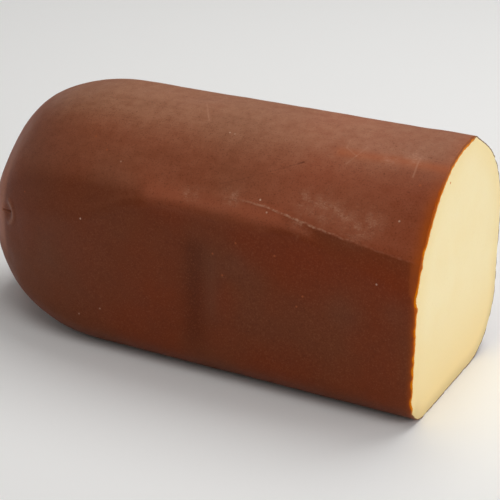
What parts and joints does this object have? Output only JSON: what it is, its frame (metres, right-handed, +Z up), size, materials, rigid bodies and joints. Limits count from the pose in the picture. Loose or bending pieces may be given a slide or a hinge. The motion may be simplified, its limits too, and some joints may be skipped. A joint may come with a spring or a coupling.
{
  "type": "smoked gouda half log",
  "caption": "End piece of a smoked gouda log: satin brown rind, rounded end closed by a gathered pinch, pressed front under a soft ridge, flat foot and one flat cut face of pale paste.",
  "frame": {"origin": "on the table, under the middle of the piece's bounding box", "axes": "+X along the log from the rounded end to the cut face, -Y towards the pressed front side, +Z up"},
  "size_m": [0.2114, 0.0878, 0.1009],
  "materials": {
    "rind": "smooth satin smoked rind, reddish brown, over pale cream paste on the cut face"
  },
  "bodies": {
    "root": {"cheese": "rind"}
  },
  "joints": []
}
